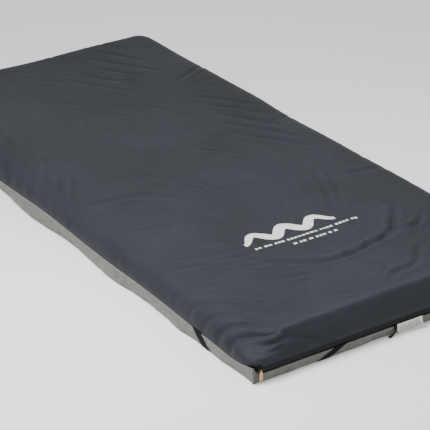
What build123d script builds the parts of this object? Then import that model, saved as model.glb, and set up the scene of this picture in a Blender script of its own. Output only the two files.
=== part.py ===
"""Pressure relief mattress: a foam and gel overlay in a zipped two-part cover.

Millimetres.  +X runs across the mattress, +Y from its foot to its head and +Z up.
The origin is the middle of the underside, on the surface that the mattress lies on.
"""

from build123d import *
import os

# Outside of the cover
WIDTH = 864.0
LENGTH = 1930.0
HEIGHT = 97.0
CORNER_FLOOR = 5.0  # corner radius in plan at the floor
CORNER_HEM = 8.0  # and where the two halves of the cover meet
CORNER_TOP = 45.0  # and at the shoulder
HEM_TOP_Z = 46.0  # the hem stands straight up to here, then leans in at the corners
SHOULDER_Z = 74.0
TOP_EDGE_RADIUS = 19.0

# Fabrics and the seam between the two halves of the cover
FABRIC = 1.2
FLOOR_FABRIC = 3.0
SEAM_Z = 36.0  # sewn seam, along the left long side
HEM_GAP = 0.3
ZIP_WALL_Z = 24.0  # the grey wall is lower where the zip runs above it
ZIP_START_X = -424.0  # the zip begins here at the foot end and ends here at the head

# Zip: two tapes, two rows of teeth and the slot between them for the slider's post
TAPE = 0.6
TAPE_OVERLAP = 8.0  # how far a tape reaches behind the fabric that it is sewn to
ZIP_Z = 31.5
ZIP_SLOT = 1.2
TEETH_TALL = 3.9
TEETH_PROUD = 0.6
TEETH_START_X = -405.0
STOP = 2.8
STOP_DEEP = 2.2
STOP_TALL = 1.8
STOP_CAP = 0.3
STOP_GAP = 1.0  # from the end of the tape
STOP_EDGE = 0.2

# Slider, its ring and its tab
SLIDER_X = -413.0
SLIDER_LONG = 13.0
SLIDER_TALL = 10.8
PLATE = 1.6
PLATE_CORNER = 3.0
PLATE_EDGE = 0.5
BACK_PLATE = 1.2
BACK_PLATE_MARGIN = 1.0  # the back plate is this much smaller than the front one
POST_LONG = 4.0
POST_THICK = 0.8
LIP = 0.5
LIP_LONG = 7.0
LIP_DEEP = 1.0
LIP_REACH = 0.4  # from the front plate's back face to the middle of a lip
BAR_Y = -970.0
BAR_Z = 35.3
BAR_FOOT = 1.4
BAR_RADIUS = 0.55
BAR_LONG = 10.0
RING_WIDE = 1.35  # from the ring's middle line to the middle of its wire
RING_DROP = 2.0
RING_WIRE = 0.5
TAB_THICK = 1.2
TAB_WIDE = 10.0
TAB_EYE = 0.85
TAB_EYE_WALL = 1.1
TAB_NECK = 4.0
TAB_CORNER = 2.4
TAB_BOTTOM_Z = 4.4
TAB_PANEL_MARGIN = 2.0
TAB_PANEL_CORNER = 1.4
TAB_PANEL_DEEP = 0.35

# Foam and gel
CORE_GAP = 7.0  # from the cover's outer face to the foam
CORE_TOP = 92.0
CORE_EDGE_RADIUS = 14.0
GEL_FLOOR_Z = 76.0
GEL_AREA_WIDE = 540.0
GEL_AREA_LONG = 1280.0
GEL_COUNT = 4
DIVIDER = 30.0
GEL_TALL = 15.0
GEL_FILM = 0.8
GEL_CORNER = 25.0
GEL_EDGE = 5.0
GLUE_GAP = 0.2

# Elastic corner straps
STRAP_WIDE = 25.0
STRAP_THICK = 1.4
STRAP_LIFT = 0.2  # off the floor, and off the cover
STRAP_CHANNEL_GAP = 1.0  # between a strap and each side of its channel
STRAP_REACH = 200.0  # from the corner to the strap, along each side, at the floor
STRAP_LEAN_END = 52.0  # how far a leg leans away from the corner, end legs
STRAP_LEAN_SIDE = 43.0  # and side legs

# Care label and the short webbing tab beside it, both sewn under the zip
SEWN_GAP = 0.5  # below the zip wall's edge
LABEL_WIDE = 77.0
LABEL_X = 23.5
LABEL_LONG = 31.0  # it hangs to the floor and its end kicks out along it
LABEL_THICK = 0.5
LABEL_LOW_Z = 0.6
LABEL_BEND = 3.0
WEBBING_TAB_X = -21.0
WEBBING_TAB_WIDE = 10.0
WEBBING_TAB_DROP = 22.5
WEBBING_TAB_LEAN = 8.0
WEBBING_TAB_THICK = 1.2

HALF_WIDTH = WIDTH / 2
HALF_LENGTH = LENGTH / 2
BEYOND = 40.0  # how far a cutting block reaches past what it cuts


def save(part, name):
    """Label a finished piece and write it."""
    part.label = name
    export_step(part, f"parts/{name}.step")


def zip_band(low, high, outside, thickness, start):
    """A strip that follows the zip line from `start` round the right side and back."""
    wide = WIDTH - 2 * outside
    long = LENGTH - 2 * outside
    radius = CORNER_HEM - outside
    with BuildPart() as band:
        with BuildSketch(Plane.XY.offset(low)):
            RectangleRounded(wide, long, radius)
            RectangleRounded(
                wide - 2 * thickness, long - 2 * thickness, radius - thickness, mode=Mode.SUBTRACT
            )
        extrude(amount=high - low)
        with Locations(((start - HALF_WIDTH - BEYOND) / 2, 0, (low + high) / 2)):
            Box(
                start + HALF_WIDTH + BEYOND, LENGTH + BEYOND, high - low + BEYOND, mode=Mode.SUBTRACT
            )
    return band.part


def cover_half(inset, low, corner_low, high, corner_high):
    """A block between two rounded rectangles that share straight sides, `inset` mm in."""
    with BuildPart() as block:
        for z, corner in ((low, corner_low), (high, corner_high)):
            with BuildSketch(Plane.XY.offset(z)):
                RectangleRounded(WIDTH - 2 * inset, LENGTH - 2 * inset, corner - inset)
        loft()
    return block.part


def lid_block(inset, low, top):
    """The upper half's outline, `inset` mm in: rounded shoulders and a rounded top edge."""
    shoulder = cover_half(inset, HEM_TOP_Z, CORNER_HEM, SHOULDER_Z, CORNER_TOP)
    with BuildPart() as lid:
        with BuildSketch(Plane.XY.offset(low)):
            RectangleRounded(WIDTH - 2 * inset, LENGTH - 2 * inset, CORNER_HEM - inset)
        extrude(amount=HEM_TOP_Z - low)
        add(shoulder)
        with BuildSketch(Plane.XY.offset(SHOULDER_Z)):
            RectangleRounded(WIDTH - 2 * inset, LENGTH - 2 * inset, CORNER_TOP - inset)
        extrude(amount=top - SHOULDER_Z)
        fillet(lid.faces().sort_by(Axis.Z)[-1].edges(), TOP_EDGE_RADIUS - inset)
    return lid.part


os.makedirs("parts", exist_ok=True)

# ---------------------------------------------------------------- grey base cover
# A tray: a laminated floor and a wall, lower along the three sides that have the zip.
# Shallow channels under its corners take the elastic straps.


def strap_outline(grow):
    """A corner strap's run under the front left corner, `grow` mm wider on each side."""
    with BuildSketch(mode=Mode.PRIVATE) as run:
        centre = (-HALF_WIDTH + STRAP_REACH / 2, -HALF_LENGTH + STRAP_REACH / 2)
        with Locations(centre):
            Rectangle(2 * STRAP_REACH, STRAP_WIDE + 2 * grow, rotation=-45)
        edge = 2 * (STRAP_THICK + STRAP_LIFT + grow)
        Rectangle(WIDTH + edge, LENGTH + edge, mode=Mode.INTERSECT)
    return run.sketch


CORNERS = {
    "foot_left": [],
    "foot_right": [Plane.YZ],
    "head_left": [Plane.XZ],
    "head_right": [Plane.XZ, Plane.YZ],
}


def at_corner(thing, mirrors):
    """Copy a piece from the front left corner to another one."""
    for plane in mirrors:
        thing = mirror(thing, about=plane, mode=Mode.PRIVATE)
    return thing


with BuildPart(mode=Mode.PRIVATE) as strap_channel:
    with BuildSketch(Plane.XY.offset(-STRAP_THICK)):
        add(strap_outline(grow=STRAP_CHANNEL_GAP))
    extrude(amount=2 * (STRAP_THICK + STRAP_LIFT))

with BuildPart() as base_cover:
    add(cover_half(0, 0, CORNER_FLOOR, SEAM_Z, CORNER_HEM))
    add(
        cover_half(FABRIC, FLOOR_FABRIC, CORNER_FLOOR, SEAM_Z, CORNER_HEM), mode=Mode.SUBTRACT
    )
    with Locations(((ZIP_START_X + HALF_WIDTH + BEYOND) / 2, 0, ZIP_WALL_Z)):
        Box(
            HALF_WIDTH + BEYOND - ZIP_START_X,
            LENGTH + BEYOND,
            SEAM_Z - ZIP_WALL_Z + 1,
            align=(Align.CENTER, Align.CENTER, Align.MIN),
            mode=Mode.SUBTRACT,
        )
    for mirrors in CORNERS.values():
        add(at_corner(strap_channel.part, mirrors), mode=Mode.SUBTRACT)
save(base_cover.part, "base_cover")

# ---------------------------------------------------------------- navy top cover
with BuildPart() as top_cover:
    add(lid_block(0, SEAM_Z + HEM_GAP, HEIGHT))
    add(lid_block(FABRIC, SEAM_Z + HEM_GAP, HEIGHT - FABRIC), mode=Mode.SUBTRACT)
save(top_cover.part, "top_cover")

# ---------------------------------------------------------------- zip
SLOT_LOW = ZIP_Z - ZIP_SLOT / 2
SLOT_HIGH = ZIP_Z + ZIP_SLOT / 2

tape_lower = zip_band(ZIP_WALL_Z - TAPE_OVERLAP, SLOT_LOW, FABRIC, TAPE, ZIP_START_X)
save(tape_lower, "zipper_tape_lower")

tape_upper = zip_band(
    SLOT_HIGH, SEAM_Z + HEM_GAP + TAPE_OVERLAP, FABRIC, TAPE, ZIP_START_X
)
save(tape_upper, "zipper_tape_upper")

save(
    zip_band(
        SLOT_LOW - TEETH_TALL, SLOT_LOW, -TEETH_PROUD, FABRIC + TEETH_PROUD, TEETH_START_X
    ),
    "zipper_teeth_lower",
)
save(
    zip_band(
        SLOT_HIGH, SLOT_HIGH + TEETH_TALL, -TEETH_PROUD, FABRIC + TEETH_PROUD, TEETH_START_X
    ),
    "zipper_teeth_upper",
)


def stops(low, high, tape):
    """The two clips that are crimped round one tape, at the zip's two ends."""
    with BuildPart() as clips:
        for y in (-HALF_LENGTH + FABRIC + TAPE / 2, HALF_LENGTH - FABRIC - TAPE / 2):
            with Locations((ZIP_START_X + STOP_GAP + STOP / 2, y, (low + high) / 2)):
                Box(STOP, STOP_DEEP, high - low)
        fillet(clips.edges().filter_by(Axis.X), STOP_EDGE)
        add(tape, mode=Mode.SUBTRACT)
    return clips.part


save(stops(SLOT_LOW - STOP_TALL, SLOT_LOW + STOP_CAP, tape_lower), "zipper_stops_lower")
save(stops(SLOT_HIGH - STOP_CAP, SLOT_HIGH + STOP_TALL, tape_upper), "zipper_stops_upper")

# ---------------------------------------------------------------- slider
# Two plates joined by a post that runs in the slot between the two rows of teeth, lips
# that hold the teeth in, and a bar on the front plate that carries the ring.
FRONT_PLATE_Y = -HALF_LENGTH - 2.1
BACK_PLATE_Y = -HALF_LENGTH + 2.7

with BuildPart() as zipper_slider:
    with Locations((SLIDER_X, FRONT_PLATE_Y, ZIP_Z)):
        Box(SLIDER_LONG, PLATE, SLIDER_TALL)
        fillet(zipper_slider.edges().filter_by(Axis.Y), PLATE_CORNER)
        fillet(zipper_slider.faces().sort_by(Axis.Y)[0].edges(), PLATE_EDGE)
    with Locations((SLIDER_X, BACK_PLATE_Y, ZIP_Z)):
        Box(SLIDER_LONG - BACK_PLATE_MARGIN, BACK_PLATE, SLIDER_TALL - 2 * BACK_PLATE_MARGIN)
    post_x = SLIDER_X - (SLIDER_LONG - POST_LONG) / 2 + BACK_PLATE_MARGIN
    with Locations((post_x, (FRONT_PLATE_Y + BACK_PLATE_Y) / 2, ZIP_Z)):
        Box(POST_LONG, BACK_PLATE_Y - FRONT_PLATE_Y, POST_THICK)
    for side in (-1, 1):
        lip_z = ZIP_Z + side * (SLIDER_TALL - LIP) / 2
        with Locations((SLIDER_X, FRONT_PLATE_Y + PLATE / 2 + LIP_REACH, lip_z)):
            Box(LIP_LONG, LIP_DEEP, LIP)
    with BuildSketch(Plane.YZ.offset(SLIDER_X - BAR_LONG / 2)):
        with Locations((BAR_Y, BAR_Z)):
            Circle(BAR_RADIUS)
    extrude(amount=BAR_LONG)
    for side in (-1, 1):
        foot_x = SLIDER_X + side * (BAR_LONG - BAR_FOOT) / 2
        with Locations((foot_x, (BAR_Y + FRONT_PLATE_Y) / 2, BAR_Z)):
            Box(BAR_FOOT, FRONT_PLATE_Y - BAR_Y, 2 * BAR_RADIUS)
save(zipper_slider.part, "zipper_slider")

# ---------------------------------------------------------------- ring
# A long wire link, hung on the slider's bar, with its upper bend round the bar.
RING_LOW_Z = BAR_Z - RING_DROP

with BuildPart() as pull_ring:
    with BuildLine(Plane.YZ.offset(SLIDER_X)) as ring_path:
        high = (BAR_Y, BAR_Z)
        low = (BAR_Y, RING_LOW_Z)
        CenterArc(high, RING_WIDE, 0, 180)
        Line((BAR_Y - RING_WIDE, BAR_Z), (BAR_Y - RING_WIDE, RING_LOW_Z))
        CenterArc(low, RING_WIDE, 180, 180)
        Line((BAR_Y + RING_WIDE, RING_LOW_Z), (BAR_Y + RING_WIDE, BAR_Z))
    with BuildSketch(Plane(origin=(SLIDER_X, BAR_Y + RING_WIDE, BAR_Z), z_dir=(0, 0, 1))):
        Circle(RING_WIRE)
    sweep(path=ring_path.wires()[0])
save(pull_ring.part, "pull_ring")

# ---------------------------------------------------------------- tab
# A flat brass pull: an eye round the ring's lower bend, then a rounded plate with a
# shallow panel pressed into its front.
EYE_Z = RING_LOW_Z - RING_WIDE
EYE_OUTER = TAB_EYE + TAB_EYE_WALL

with BuildPart() as pull_tab:
    with BuildSketch(Plane.XZ.offset(-BAR_Y - TAB_THICK / 2)) as tab_sketch:
        with Locations((SLIDER_X, EYE_Z)):
            Circle(EYE_OUTER)
        with Locations((SLIDER_X, EYE_Z - TAB_NECK / 2)):
            Rectangle(2 * EYE_OUTER, TAB_NECK)
        plate_top = EYE_Z - TAB_NECK + TAB_EYE_WALL
        plate_tall = plate_top - TAB_BOTTOM_Z
        with Locations((SLIDER_X, TAB_BOTTOM_Z + plate_tall / 2)):
            RectangleRounded(TAB_WIDE, plate_tall, TAB_CORNER)
        with Locations((SLIDER_X, EYE_Z)):
            Circle(TAB_EYE, mode=Mode.SUBTRACT)
    extrude(amount=TAB_THICK)
    with BuildSketch(Plane.XZ.offset(-BAR_Y + TAB_THICK / 2)):
        with Locations((SLIDER_X, TAB_BOTTOM_Z + plate_tall / 2)):
            RectangleRounded(
                TAB_WIDE - 2 * TAB_PANEL_MARGIN,
                plate_tall - 2 * TAB_PANEL_MARGIN,
                TAB_PANEL_CORNER,
            )
    extrude(amount=-TAB_PANEL_DEEP, mode=Mode.SUBTRACT)
save(pull_tab.part, "pull_tab")

# ---------------------------------------------------------------- foam
CORE_WIDE = WIDTH - 2 * CORE_GAP
CORE_LONG = LENGTH - 2 * CORE_GAP
CORE_CORNER_LOW = 30.0
CORE_CORNER_HIGH = 48.0
CORE_SPLIT_Z = 50.0

with BuildPart() as foam_slab:
    with BuildSketch(Plane.XY.offset(FLOOR_FABRIC)):
        RectangleRounded(CORE_WIDE, CORE_LONG, CORE_CORNER_LOW)
    extrude(amount=CORE_SPLIT_Z - FLOOR_FABRIC)
    with BuildSketch(Plane.XY.offset(CORE_SPLIT_Z)):
        RectangleRounded(CORE_WIDE, CORE_LONG, CORE_CORNER_HIGH)
    extrude(amount=GEL_FLOOR_Z - CORE_SPLIT_Z)
save(foam_slab.part, "foam_slab")

with BuildPart() as foam_blank:
    with BuildSketch(Plane.XY.offset(GEL_FLOOR_Z)):
        RectangleRounded(CORE_WIDE, CORE_LONG, CORE_CORNER_HIGH)
    extrude(amount=CORE_TOP - GEL_FLOOR_Z)
    fillet(foam_blank.faces().sort_by(Axis.Z)[-1].edges(), CORE_EDGE_RADIUS)

RAIL_WIDE = (CORE_WIDE - GEL_AREA_WIDE) / 2
RAIL_END = (CORE_LONG - GEL_AREA_LONG) / 2
GEL_LONG = (GEL_AREA_LONG - (GEL_COUNT - 1) * DIVIDER) / GEL_COUNT
GEL_PITCH = GEL_LONG + DIVIDER


def foam_piece(name, centre_x, centre_y, wide, long):
    """Cut one piece of the foam surround from the rounded blank."""
    with BuildPart() as piece:
        add(foam_blank.part)
        with Locations((centre_x, centre_y, (GEL_FLOOR_Z + CORE_TOP) / 2)):
            Box(wide, long, CORE_TOP - GEL_FLOOR_Z + 2, mode=Mode.INTERSECT)
    save(piece.part, name)


foam_piece("foam_rail_left", -(CORE_WIDE - RAIL_WIDE) / 2, 0, RAIL_WIDE, CORE_LONG)
foam_piece("foam_rail_right", (CORE_WIDE - RAIL_WIDE) / 2, 0, RAIL_WIDE, CORE_LONG)
foam_piece("foam_rail_foot", 0, -(CORE_LONG - RAIL_END) / 2, GEL_AREA_WIDE, RAIL_END)
foam_piece("foam_rail_head", 0, (CORE_LONG - RAIL_END) / 2, GEL_AREA_WIDE, RAIL_END)
for number in range(1, GEL_COUNT):
    divider_y = (number - GEL_COUNT / 2) * GEL_PITCH
    foam_piece(f"foam_divider_{number}", 0, divider_y, GEL_AREA_WIDE, DIVIDER)

# ---------------------------------------------------------------- gel bladders


def gel_block(centre_y, inset):
    """A flat pillow with rounded corners and edges, `inset` mm in from the film's outside."""
    wide = GEL_AREA_WIDE - 2 * (GLUE_GAP + inset)
    long = GEL_LONG - 2 * (GLUE_GAP + inset)
    with BuildPart() as block:
        with BuildSketch(Plane.XY.offset(GEL_FLOOR_Z + inset)):
            with Locations((0, centre_y)):
                RectangleRounded(wide, long, GEL_CORNER - inset)
        extrude(amount=GEL_TALL - 2 * inset)
        fillet(block.faces().sort_by(Axis.Z)[-1].edges(), GEL_EDGE - inset)
        fillet(block.faces().sort_by(Axis.Z)[0].edges(), GEL_EDGE - inset)
    return block.part


for number in range(1, GEL_COUNT + 1):
    gel_y = (number - (GEL_COUNT + 1) / 2) * GEL_PITCH
    gel = gel_block(gel_y, GEL_FILM)
    with BuildPart() as gel_film:
        add(gel_block(gel_y, 0))
        add(gel, mode=Mode.SUBTRACT)
    save(gel_film.part, f"gel_film_{number}")
    save(gel, f"gel_fill_{number}")

# ---------------------------------------------------------------- corner straps
# Each strap is one length of elastic webbing.  Its run under the corner moves when the
# strap is pulled down over the bed's own mattress; its two legs stretch.
with BuildPart() as strap_run:
    with BuildSketch(Plane.XY.offset(STRAP_LIFT)):
        add(strap_outline(grow=0))
    extrude(amount=STRAP_THICK)

LEG_LOW_Z = STRAP_LIFT + STRAP_THICK
LEG_SPAN = STRAP_WIDE * 2**0.5 / 2  # half of the strap's width along the wall, at 45 degrees


def leg_outline(corner, direction, lean, top):
    """A leg's four corners on its wall: distance along the wall, then height."""
    foot = corner + direction * STRAP_REACH
    head = foot + direction * lean
    return [
        (foot - LEG_SPAN, LEG_LOW_Z),
        (foot + LEG_SPAN, LEG_LOW_Z),
        (head + LEG_SPAN, top),
        (head - LEG_SPAN, top),
    ]


with BuildPart() as leg_end:
    with BuildSketch(Plane.XZ.offset(HALF_LENGTH + STRAP_LIFT)):
        Polygon(*leg_outline(-HALF_WIDTH, 1, STRAP_LEAN_END, ZIP_WALL_Z), align=None)
    extrude(amount=STRAP_THICK)


def leg_side(top):
    """A leg on the left long side, up to the seam or to the zip."""
    with BuildPart() as leg:
        with BuildSketch(Plane.YZ.offset(-HALF_WIDTH - STRAP_LIFT)):
            Polygon(*leg_outline(-HALF_LENGTH, 1, STRAP_LEAN_SIDE, top), align=None)
        extrude(amount=-STRAP_THICK)
    return leg.part


for corner_name, mirrors in CORNERS.items():
    side_top = SEAM_Z if corner_name.endswith("left") else ZIP_WALL_Z
    save(at_corner(strap_run.part, mirrors), f"strap_run_{corner_name}")
    save(at_corner(leg_end.part, mirrors), f"strap_leg_end_{corner_name}")
    save(at_corner(leg_side(side_top), mirrors), f"strap_leg_side_{corner_name}")

# ---------------------------------------------------------------- label and webbing tab
label_y = -HALF_LENGTH - STRAP_LIFT
label_top = ZIP_WALL_Z - SEWN_GAP
label_kick = LABEL_LONG - (label_top - LABEL_LOW_Z)

with BuildPart() as care_label:
    with BuildSketch(Plane.YZ.offset(LABEL_X - LABEL_WIDE / 2)):
        with BuildLine():
            Polyline(
                (label_y, label_top),
                (label_y, LABEL_LOW_Z),
                (label_y - label_kick, LABEL_LOW_Z),
                (label_y - label_kick, LABEL_LOW_Z + LABEL_THICK),
                (label_y - LABEL_THICK, LABEL_LOW_Z + LABEL_THICK),
                (label_y - LABEL_THICK, label_top),
                close=True,
            )
        make_face()
    extrude(amount=LABEL_WIDE)
    bend = care_label.edges().filter_by(Axis.X)
    inner = bend.sort_by_distance((LABEL_X, label_y - LABEL_THICK, LABEL_LOW_Z + LABEL_THICK))[0]
    outer = bend.sort_by_distance((LABEL_X, label_y, LABEL_LOW_Z))[0]
    fillet(inner, LABEL_BEND - LABEL_THICK)
    fillet(outer, LABEL_BEND)
save(care_label.part, "care_label")

with BuildPart() as webbing_tab:
    tab_top = ZIP_WALL_Z - SEWN_GAP
    tab_low = tab_top - WEBBING_TAB_DROP
    tab_half = WEBBING_TAB_WIDE / 2
    with BuildSketch(Plane.XZ.offset(HALF_LENGTH + STRAP_LIFT)):
        Polygon(
            (WEBBING_TAB_X - tab_half, tab_top),
            (WEBBING_TAB_X + tab_half, tab_top),
            (WEBBING_TAB_X + tab_half - WEBBING_TAB_LEAN, tab_low),
            (WEBBING_TAB_X - tab_half - WEBBING_TAB_LEAN, tab_low),
            align=None,
        )
    extrude(amount=WEBBING_TAB_THICK)
save(webbing_tab.part, "webbing_tab")
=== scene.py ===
"""Looks for the pressure relief mattress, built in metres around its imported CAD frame."""

import math

import bpy
import numpy as np
from mathutils import Matrix, Vector
from mathutils.bvhtree import BVHTree


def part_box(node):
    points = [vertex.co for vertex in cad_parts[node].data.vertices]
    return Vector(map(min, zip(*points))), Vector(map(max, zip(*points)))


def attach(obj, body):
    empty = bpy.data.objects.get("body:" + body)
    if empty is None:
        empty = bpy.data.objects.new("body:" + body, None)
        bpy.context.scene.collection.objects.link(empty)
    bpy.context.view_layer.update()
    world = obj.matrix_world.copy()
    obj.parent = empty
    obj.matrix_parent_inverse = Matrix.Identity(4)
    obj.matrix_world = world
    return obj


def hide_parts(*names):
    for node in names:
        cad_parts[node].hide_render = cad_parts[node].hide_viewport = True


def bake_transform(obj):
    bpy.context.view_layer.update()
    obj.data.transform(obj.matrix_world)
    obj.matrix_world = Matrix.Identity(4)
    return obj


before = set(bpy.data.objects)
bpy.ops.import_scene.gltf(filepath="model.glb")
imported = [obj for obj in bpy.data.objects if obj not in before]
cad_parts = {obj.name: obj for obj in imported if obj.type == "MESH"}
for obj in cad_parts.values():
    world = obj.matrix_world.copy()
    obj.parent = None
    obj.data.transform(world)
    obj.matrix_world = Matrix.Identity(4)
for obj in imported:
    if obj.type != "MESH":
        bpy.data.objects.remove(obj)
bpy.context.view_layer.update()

# ---- places from the frame
COVER_LOW, COVER_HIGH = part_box("top_cover")
BASE_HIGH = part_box("base_cover")[1]
TAPE_LOW, TAPE_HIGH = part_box("zipper_tape_lower")
TEETH_LOW, TEETH_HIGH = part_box("zipper_teeth_lower")
UPPER_TEETH_LOW, UPPER_TEETH_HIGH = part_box("zipper_teeth_upper")
UPPER_TAPE_LOW, UPPER_TAPE_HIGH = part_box("zipper_tape_upper")
LABEL_LOW, LABEL_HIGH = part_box("care_label")
TAB_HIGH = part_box("webbing_tab")[1]
CORE_LOW, CORE_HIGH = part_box("foam_rail_left")
CORE_HIGH.x = -CORE_LOW.x
TAPE_START = TAPE_LOW.x

HALF_X = COVER_HIGH.x
HALF_Y = COVER_HIGH.y
HEM_Z = COVER_LOW.z
TOP_Z = COVER_HIGH.z
SEAM_Z = BASE_HIGH.z
ZIP_WALL_Z = 0.024  # top of the grey wall under the zip
ZIP_Z = (TEETH_HIGH.z + UPPER_TEETH_LOW.z) / 2
HEM_RADIUS = 0.026  # plan radius of the cover's corners at the hem
RIDGE_RADIUS = 0.046  # and at its upper edge
BASE_RADIUS = 0.0025  # and of the base at the floor
PANEL_INSET = 0.060  # where the flat top begins
GRID = 0.0045  # spacing of the points on both covers


def smooth(t):
    t = np.clip(t, 0, 1)
    return t * t * (3 - 2 * t)


def noise(x, y, seed):
    """Smooth value noise from -1 to 1, one cell per unit."""
    table = np.random.default_rng(seed).uniform(-1, 1, (97, 89))
    i, j = np.floor(x).astype(int), np.floor(y).astype(int)
    u, v = smooth(x - i), smooth(y - j)

    def at(a, b):
        return table[a % 97, b % 89]

    low = at(i, j) * (1 - u) + at(i + 1, j) * u
    high = at(i, j + 1) * (1 - u) + at(i + 1, j + 1) * u
    return low * (1 - v) + high * v


def spline(points, count):
    """A smooth curve through given points, sampled evenly between them."""
    p = np.array(points, float)
    p = np.vstack([2 * p[0] - p[1], p, 2 * p[-1] - p[-2]])
    t = np.linspace(0, len(points) - 1, count)
    k = np.minimum(t.astype(int), len(points) - 2)
    f = (t - k)[:, None]
    a, b, c, d = p[k], p[k + 1], p[k + 2], p[k + 3]
    return 0.5 * (
        2 * b + (c - a) * f + (2 * a - 5 * b + 4 * c - d) * f**2 + (3 * b - a - 3 * c + d) * f**3
    )


# ---- materials
class Nodes:
    """A material's node tree, with short calls for the nodes used here."""

    def __init__(self, name):
        self.material = bpy.data.materials.new(name)
        self.material.use_nodes = True
        self.tree = self.material.node_tree
        self.shader = self.tree.nodes["Principled BSDF"]
        self.coords = self.tree.nodes.new("ShaderNodeTexCoord").outputs["Object"]

    def link(self, a, b):
        self.tree.links.new(a, b)

    def new(self, kind, **inputs):
        """A shader node with its inputs set; To_Min stands for the input To Min."""
        node = self.tree.nodes.new("ShaderNode" + kind)
        for key, value in inputs.items():
            node.inputs[key.replace("_", " ")].default_value = value
        return node

    def mapped(self, scale):
        node = self.new("Mapping", Scale=scale)
        self.link(self.coords, node.inputs["Vector"])
        return node.outputs["Vector"]

    def noise(self, scale, detail=2.0, vector=None, rough=0.5):
        node = self.new("TexNoise", Scale=scale, Detail=detail, Roughness=rough)
        self.link(self.coords if vector is None else vector, node.inputs["Vector"])
        return node.outputs["Fac"]

    def cells(self, scale):
        node = self.new("TexVoronoi", Scale=scale)
        self.link(self.coords, node.inputs["Vector"])
        return node.outputs["Distance"]

    def bands(self, pitch, direction):
        node = self.new("TexWave", Scale=2 * math.pi / (20 * pitch))
        node.bands_direction = direction
        self.link(self.coords, node.inputs["Vector"])
        return node.outputs["Fac"]

    def paint(self, value, stops):
        """Colour the surface by a ramp of the value."""
        node = self.new("ValToRGB")
        ramp = node.color_ramp
        while len(ramp.elements) < len(stops):
            ramp.elements.new(0.5)
        for element, (place, colour) in zip(ramp.elements, stops):
            element.position = place
            element.color = (*colour, 1)
        self.link(value, node.inputs["Fac"])
        self.link(node.outputs["Color"], self.shader.inputs["Base Color"])

    def math(self, operation, a, b):
        node = self.new("Math")
        node.operation = operation
        for socket, value in zip(node.inputs, (a, b)):
            if isinstance(value, (int, float)):
                socket.default_value = value
            else:
                self.link(value, socket)
        return node.outputs[0]

    def roughen(self, value, low, high):
        """Vary the roughness between two values."""
        node = self.new("MapRange", To_Min=low, To_Max=high)
        self.link(value, node.inputs["Value"])
        self.link(node.outputs["Result"], self.shader.inputs["Roughness"])

    def bump(self, height, distance, strength):
        """Stack a bump on those already made."""
        node = self.new("Bump", Distance=distance, Strength=strength)
        self.link(height, node.inputs["Height"])
        normal = self.shader.inputs["Normal"]
        if normal.is_linked:
            self.link(normal.links[0].from_socket, node.inputs["Normal"])
        self.link(node.outputs["Normal"], normal)

    def set(self, **values):
        for key, value in values.items():
            self.shader.inputs[key.replace("_", " ")].default_value = value
        return self.material


def shade(colour, factor):
    return tuple(min(1.0, c * factor) for c in colour)


def cover_fabric():
    """Navy stretch fabric with a soft coating: fine knit, satin sheen, cloudy tone."""
    n = Nodes("cover_fabric")
    navy = (0.0195, 0.0225, 0.0280)
    tone = n.math("ADD", n.noise(4.5, 3.0), n.math("MULTIPLY", n.noise(38.0, 3.0), 0.35))
    n.paint(tone, [(0.45, shade(navy, 0.86)), (0.9, shade(navy, 1.16))])
    n.roughen(n.noise(26.0, 4.0), 0.55, 0.68)
    n.bump(n.noise(120.0, 3.0), 0.0006, 0.35)
    knit = n.math("MULTIPLY", n.bands(0.0009, "X"), n.bands(0.0009, "Y"))
    n.bump(knit, 0.00012, 0.5)
    return n.set(Sheen_Weight=0.02, Sheen_Roughness=0.4, Specular_IOR_Level=0.12)


def lining():
    """The cover's inner face: pale grey coating over the knit."""
    n = Nodes("cover_lining")
    grey = (0.20, 0.21, 0.22)
    n.paint(n.noise(30.0, 3.0), [(0.3, shade(grey, 0.9)), (0.7, shade(grey, 1.1))])
    n.bump(n.noise(300.0, 3.0), 0.0004, 0.4)
    return n.set(Roughness=0.6)


def base_fabric():
    """Light grey marled knit: short light and dark yarns side by side."""
    n = Nodes("base_fabric")
    yarn = n.noise(1.0, 3.0, n.mapped((260, 260, 900)), 0.65)
    patch = n.noise(60.0, 3.0)
    mixed = n.math("ADD", n.math("MULTIPLY", yarn, 0.75), n.math("MULTIPLY", patch, 0.25))
    n.paint(
        mixed,
        [(0.34, (0.060, 0.057, 0.049)), (0.5, (0.116, 0.113, 0.100)), (0.66, (0.190, 0.186, 0.168))],
    )
    n.bump(yarn, 0.0005, 0.6)
    n.bump(n.noise(70.0, 2.0), 0.0012, 0.3)
    return n.set(Roughness=0.9, Sheen_Weight=0.2, Specular_IOR_Level=0.2)


def woven(name, colour, pitch, lift=0.0003):
    """Plain woven tape or webbing, with thread rows both ways."""
    n = Nodes(name)
    weave = n.math("ADD", n.bands(pitch, "DIAGONAL"), n.bands(pitch * 0.8, "Z"))
    tone = n.math("ADD", n.math("MULTIPLY", weave, 0.25), n.math("MULTIPLY", n.noise(90.0), 0.5))
    n.paint(tone, [(0.2, shade(colour, 0.7)), (0.8, shade(colour, 1.5))])
    n.bump(weave, lift, 0.6)
    return n.set(Roughness=0.85, Specular_IOR_Level=0.1)


def label_fabric():
    """Off-white satin ribbon, a little uneven in tone."""
    n = Nodes("label_fabric")
    cream = (0.60, 0.585, 0.52)
    n.paint(n.noise(240.0, 4.0), [(0.3, shade(cream, 0.86)), (0.7, shade(cream, 1.14))])
    n.bump(n.bands(0.0007, "X"), 0.0001, 0.5)
    return n.set(Roughness=0.55, Sheen_Weight=0.1)


def metal(name, colour, rough, wear):
    """Die-cast metal: darker in the pits, brighter where it rubs."""
    n = Nodes(name)
    n.paint(
        n.noise(420.0, 4.0), [(0.35, shade(colour, 0.6)), (0.55, colour), (0.75, shade(colour, wear))]
    )
    n.roughen(n.noise(900.0, 3.0), rough - 0.08, rough + 0.12)
    n.bump(n.noise(1500.0, 2.0), 0.00005, 0.5)
    return n.set(Metallic=1.0)


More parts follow.
